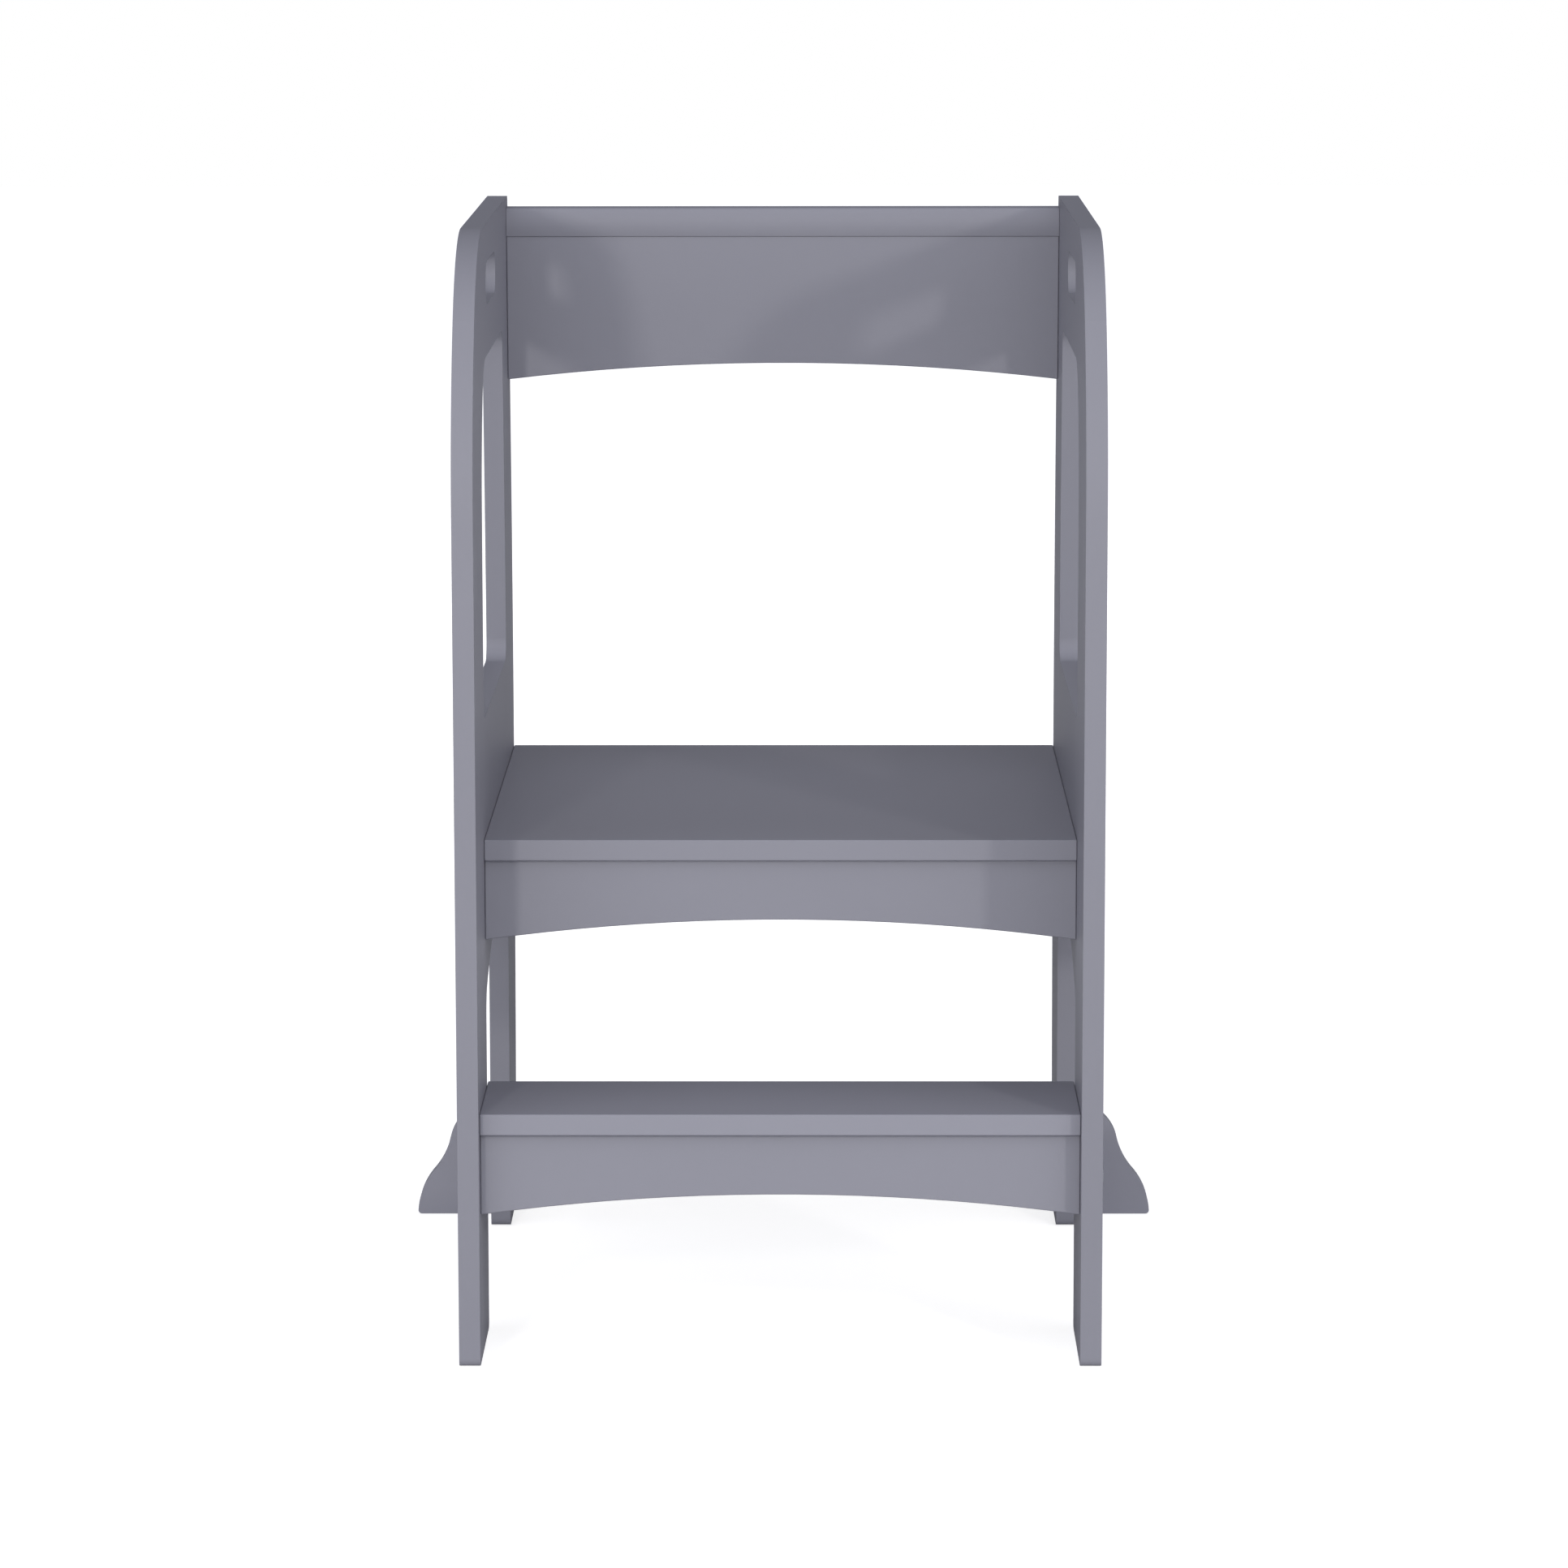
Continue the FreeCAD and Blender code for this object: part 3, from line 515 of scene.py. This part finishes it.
# %% Zinc recipe
BRIGHT_ZINC, CLOUDY_ZINC = (206, 209, 214), (160, 165, 174)
CLOUD_SIZE, MARK_SIZE = 0.004, 0.0005    # m
CLOUD_BEGINS, CLOUD_FULL = 0.3, 0.75     # levels of the clouds' noise
BRIGHT_ROUGHNESS, CLOUDY_ROUGHNESS = 0.24, 0.46
MARK_STRENGTH, MARK_DEPTH = 0.25, 0.00004

zinc, tree = blank_material("bright_zinc_plating")
place = add_node(tree, "ShaderNodeTexCoord").outputs["Object"]
clouds = scaled_noise(tree, place, CLOUD_SIZE, detail=3.0)
marks = scaled_noise(tree, place, MARK_SIZE, detail=2.0)
scratches = add_node(tree, "ShaderNodeBump", {
    "Strength": MARK_STRENGTH, "Distance": MARK_DEPTH, "Height": marks})
metal = add_node(tree, "ShaderNodeBsdfPrincipled", {
    "Base Color": mix_colours(tree, clouds, linear(*BRIGHT_ZINC), linear(*CLOUDY_ZINC)),
    "Roughness": map_range(tree, clouds, CLOUD_BEGINS, CLOUD_FULL, BRIGHT_ROUGHNESS, CLOUDY_ROUGHNESS),
    "Normal": scratches.outputs[0], "Metallic": 1.0})
add_node(tree, "ShaderNodeOutputMaterial", {"Surface": metal.outputs[0]})
print("zinc:", len(tree.nodes), "nodes")

# %% [markdown]
# ## Connector screws
#
# Sixteen flat-headed screws pull the boards together: through the sides into the platform's aprons, the
# step and its apron and the rail, and from inside into the stabilisers. The head is a thin disc with a
# rolled rim and a hexagon socket for a 4 mm key, and the coarse thread bites into board, not metal. The
# plain CAD screws have a thicker head; the thin one keeps clear of the outline of the front legs.

# %% Sizes of a screw
SOLID_HEAD_HEIGHT = 2.6 * MM   # head of the plain CAD screw that this one stands for
HEAD_HEIGHT = 1.4 * MM
ROLLED_RIM = [                 # radius in mm, and depth as a share of the head's height
    (6.6, 0.0), (7.0, 0.05), (7.27, 0.18), (7.45, 0.38), (7.5, 0.6), (7.42, 0.85), (7.2, 1.0)]
SOCKET_FLAT, SOCKET_DEPTH = 2.0 * MM, 4.2 * MM   # from the axis to a flat, and down to its floor
SOCKET_DISH = 0.4 * MM         # the floor is this much deeper in the middle
SOCKET_MOUTH, MOUTH_DEPTH = 2.6 * MM, 0.4 * MM   # the round chamfer that leads the key in
SHANK_RADIUS, CORE_RADIUS = 3.0 * MM, 2.25 * MM
FILLET_WIDTH, FILLET_DEPTH = 0.4 * MM, 0.5 * MM  # where the shank meets the head
WALL_STATION, FACE_STATION = 2.0 * MM, 4.0 * MM  # rows halfway down the socket and across the face
SCREW_LENGTH, SHORT_SCREW_LENGTH = 50.0 * MM, 38.0 * MM

# %% Sizes of its thread
THREAD_PITCH, PLAIN_NECK = 3.2 * MM, 14.0 * MM
RIDGE_STEEPNESS = 1.6          # above 1, the thread's ridges are steeper and leave a flat root
RUN_IN = 2.0 * MM              # length over which the thread reaches its full depth
TIP, BLUNT_END = 3.0 * MM, 0.12   # length of the tip, and the share of the radius left at its end
COLUMNS, STATIONS_PER_TURN = 48, 10


# %% Profile of a screw
def screw_head():
    """Radius and depth of the socket, the face, the rim and the plain neck, from the inside out.

    In the socket the radius is flat / cos(angle to the nearest flat), which is a hexagon.
    """
    angle = around(COLUMNS)
    hexagon = 1.0 / np.cos((angle + math.pi / 6) % (math.pi / 3) - math.pi / 6)
    socket = [(0.5 * SOCKET_FLAT, SOCKET_DEPTH + SOCKET_DISH), (SOCKET_FLAT, SOCKET_DEPTH),
              (SOCKET_FLAT, WALL_STATION), (SOCKET_FLAT, MOUTH_DEPTH)]
    face = [(SOCKET_MOUTH, 0.0), (FACE_STATION, 0.0)]
    rim = [(radius * MM, share * HEAD_HEIGHT) for radius, share in ROLLED_RIM]
    neck = [(SHANK_RADIUS + FILLET_WIDTH, HEAD_HEIGHT), (SHANK_RADIUS, HEAD_HEIGHT + FILLET_DEPTH),
            (SHANK_RADIUS, HEAD_HEIGHT + PLAIN_NECK)]
    outline = np.array(socket + face + rim + neck)
    in_socket = np.arange(len(outline))[:, None] < len(socket)
    return outline[:, :1] * np.where(in_socket, hexagon, 1.0), np.repeat(outline[:, 1:], COLUMNS, axis=1)


def screw_thread(length):
    """Radius and depth from the plain neck to the tip.

    The radius is the core plus a triangle wave of depth / pitch - angle / full turn, which is a helix.
    """
    begin, end = HEAD_HEIGHT + PLAIN_NECK, HEAD_HEIGHT + length
    count = int(round((end - begin) / THREAD_PITCH * STATIONS_PER_TURN))
    depth = np.linspace(begin, end, count + 1)[1:, None]
    phase = (depth / THREAD_PITCH - around(COLUMNS) / (2 * math.pi)) % 1.0
    wave = 1 - 2 * np.abs(phase - 0.5)
    ridge = np.clip(RIDGE_STEEPNESS * (wave - 1) + 1, 0, 1)
    core = SHANK_RADIUS + (CORE_RADIUS - SHANK_RADIUS) * np.clip((depth - begin) / RUN_IN, 0, 1)
    taper = np.clip((end - depth) / TIP, BLUNT_END, 1)
    return (core + ridge * (SHANK_RADIUS - core)) * taper, np.repeat(depth, COLUMNS, axis=1)


def screw_grid(length):
    """Radius and depth of a whole screw for every station and angle."""
    return [np.vstack(rows) for rows in zip(screw_head(), screw_thread(length))]


print("grid of a screw:", screw_grid(SCREW_LENGTH)[0].shape, "stations by angles")

# %% Turn the pairs of screws
SCREWS = {                     # node: length, and whether the heads look outwards
    "platform_front_screws": (SCREW_LENGTH, True),
    "platform_rear_screws": (SCREW_LENGTH, True),
    "step_screws": (SCREW_LENGTH, True),
    "step_apron_screws": (SCREW_LENGTH, True),
    "rail_lower_screws": (SCREW_LENGTH, True),
    "rail_upper_screws": (SCREW_LENGTH, True),
    "stabiliser_lower_screws": (SHORT_SCREW_LENGTH, False),
    "stabiliser_upper_screws": (SHORT_SCREW_LENGTH, False),
}
for node, (length, outwards) in SCREWS.items():
    low, high = (np.array(corner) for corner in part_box(node))
    middle = (low + high) / 2
    # A head lies on its board, so a thin one starts further in than the solid's; a tip stays in place.
    reach = high[0] - (SOLID_HEAD_HEIGHT - HEAD_HEIGHT if outwards else length + HEAD_HEIGHT)
    radius, depth = screw_grid(length)
    pair = []
    for hand in (-1, 1):
        start = np.array([hand * reach, middle[1], middle[2]])
        pair.append(lathe(radius, depth, start, (-hand if outwards else hand, 0, 0)))
    one_piece(node + "_detailed", pair, node, zinc)

# %% [markdown]
# ## Dowels of the guard rail
#
# Two fluted beech dowels hold the rounded strip on the rail. The flutes let glue and air out of the
# hole, and the ends are chamfered so that the dowel finds its hole. They are hidden in the finished
# stool, but anyone who takes the rail apart meets them, so they are turned as well. Beech is told by its
# short darker flecks, so the wood is two noises stretched along the dowel: fine fibres and wider flecks.

# %% Beech recipe
PALE_FIBRE, DARK_FIBRE, FLECK = (222, 190, 148), (186, 146, 104), (214, 190, 170)
ALONG_GRAIN = (1.0, 1.0, 0.08)           # the patterns are drawn out along Z
FIBRE_SIZE, FLECK_SIZE = 0.0006, 0.0025  # m
FLECK_BEGINS, FLECK_FULL = 0.58, 0.66    # levels of the flecks' noise
PALE_ROUGHNESS, DARK_ROUGHNESS = 0.5, 0.75
FIBRE_STRENGTH, FIBRE_DEPTH = 0.4, 0.0001

beech, tree = blank_material("turned_beech")
place = add_node(tree, "ShaderNodeTexCoord").outputs["Object"]
stretched = add_node(tree, "ShaderNodeMapping", {"Vector": place, "Scale": ALONG_GRAIN}).outputs[0]
fibres = scaled_noise(tree, stretched, FIBRE_SIZE, detail=4.0)
flecks = scaled_noise(tree, stretched, FLECK_SIZE, detail=2.0)
wood = mix_colours(tree, fibres, linear(*PALE_FIBRE), linear(*DARK_FIBRE))
fleck_mask = map_range(tree, flecks, FLECK_BEGINS, FLECK_FULL, 0.0, 1.0)
raised = add_node(tree, "ShaderNodeBump", {
    "Strength": FIBRE_STRENGTH, "Distance": FIBRE_DEPTH, "Height": fibres})
timber = add_node(tree, "ShaderNodeBsdfPrincipled", {
    "Base Color": mix_colours(tree, fleck_mask, wood, linear(*FLECK), blend="MULTIPLY"),
    "Roughness": map_range(tree, fibres, 0.0, 1.0, PALE_ROUGHNESS, DARK_ROUGHNESS),
    "Normal": raised.outputs[0]})
add_node(tree, "ShaderNodeOutputMaterial", {"Surface": timber.outputs[0]})
print("beech:", len(tree.nodes), "nodes")

# %% Profile of a dowel
DOWEL_RADIUS, DOWEL_LENGTH = 4.0 * MM, 30.0 * MM
CHAMFER = 1.2 * MM             # length of the chamfer
CHAMFER_DROP, CHAMFER_CURVE = 0.84 * MM, 1.5   # how much thinner the end is, and how round its slope
CHAMFER_STATIONS = np.array([0, 0.4, 0.8, 1.0]) * CHAMFER
FLUTES, FLUTE_DEPTH = 24, 0.35 * MM
COLUMNS_PER_FLUTE, BODY_STATIONS = 6, 6


def dowel_grid():
    """Radius = outside less a row of cosine flutes, drawn in over the chamfers at both ends."""
    angle = around(FLUTES * COLUMNS_PER_FLUTE)
    body = np.linspace(2 * CHAMFER, DOWEL_LENGTH - 2 * CHAMFER, BODY_STATIONS)
    depth = np.concatenate([CHAMFER_STATIONS, body, DOWEL_LENGTH - CHAMFER_STATIONS[::-1]])[:, None]
    clear_of_end = np.clip(np.minimum(depth, DOWEL_LENGTH - depth) / CHAMFER, 0, 1)
    outside = DOWEL_RADIUS - CHAMFER_DROP * (1 - clear_of_end) ** CHAMFER_CURVE
    flute = FLUTE_DEPTH * (0.5 - 0.5 * np.cos(FLUTES * angle)) * clear_of_end
    return outside - flute, np.repeat(depth, len(angle), axis=1)


# %% Turn the dowels
DOWEL_SPACING = 300.0 * MM
RAIL_LEAN = math.radians(4)

low, high = (np.array(corner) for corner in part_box("rail_cap_dowels"))
middle = (low + high) / 2
down = np.array([0.0, math.sin(RAIL_LEAN), -math.cos(RAIL_LEAN)])
radius, depth = dowel_grid()
dowels = []
for hand in (-1, 1):
    centre = np.array([hand * DOWEL_SPACING / 2, middle[1], middle[2]])
    dowels.append(lathe(radius, depth, centre - down * DOWEL_LENGTH / 2, down))
one_piece("rail_cap_dowels_detailed", dowels, "rail_cap_dowels", beech)

# %% [markdown]
# ## The last update
#
# The last cell brings the scene up to date.

# %% Last update
bpy.context.view_layer.update()
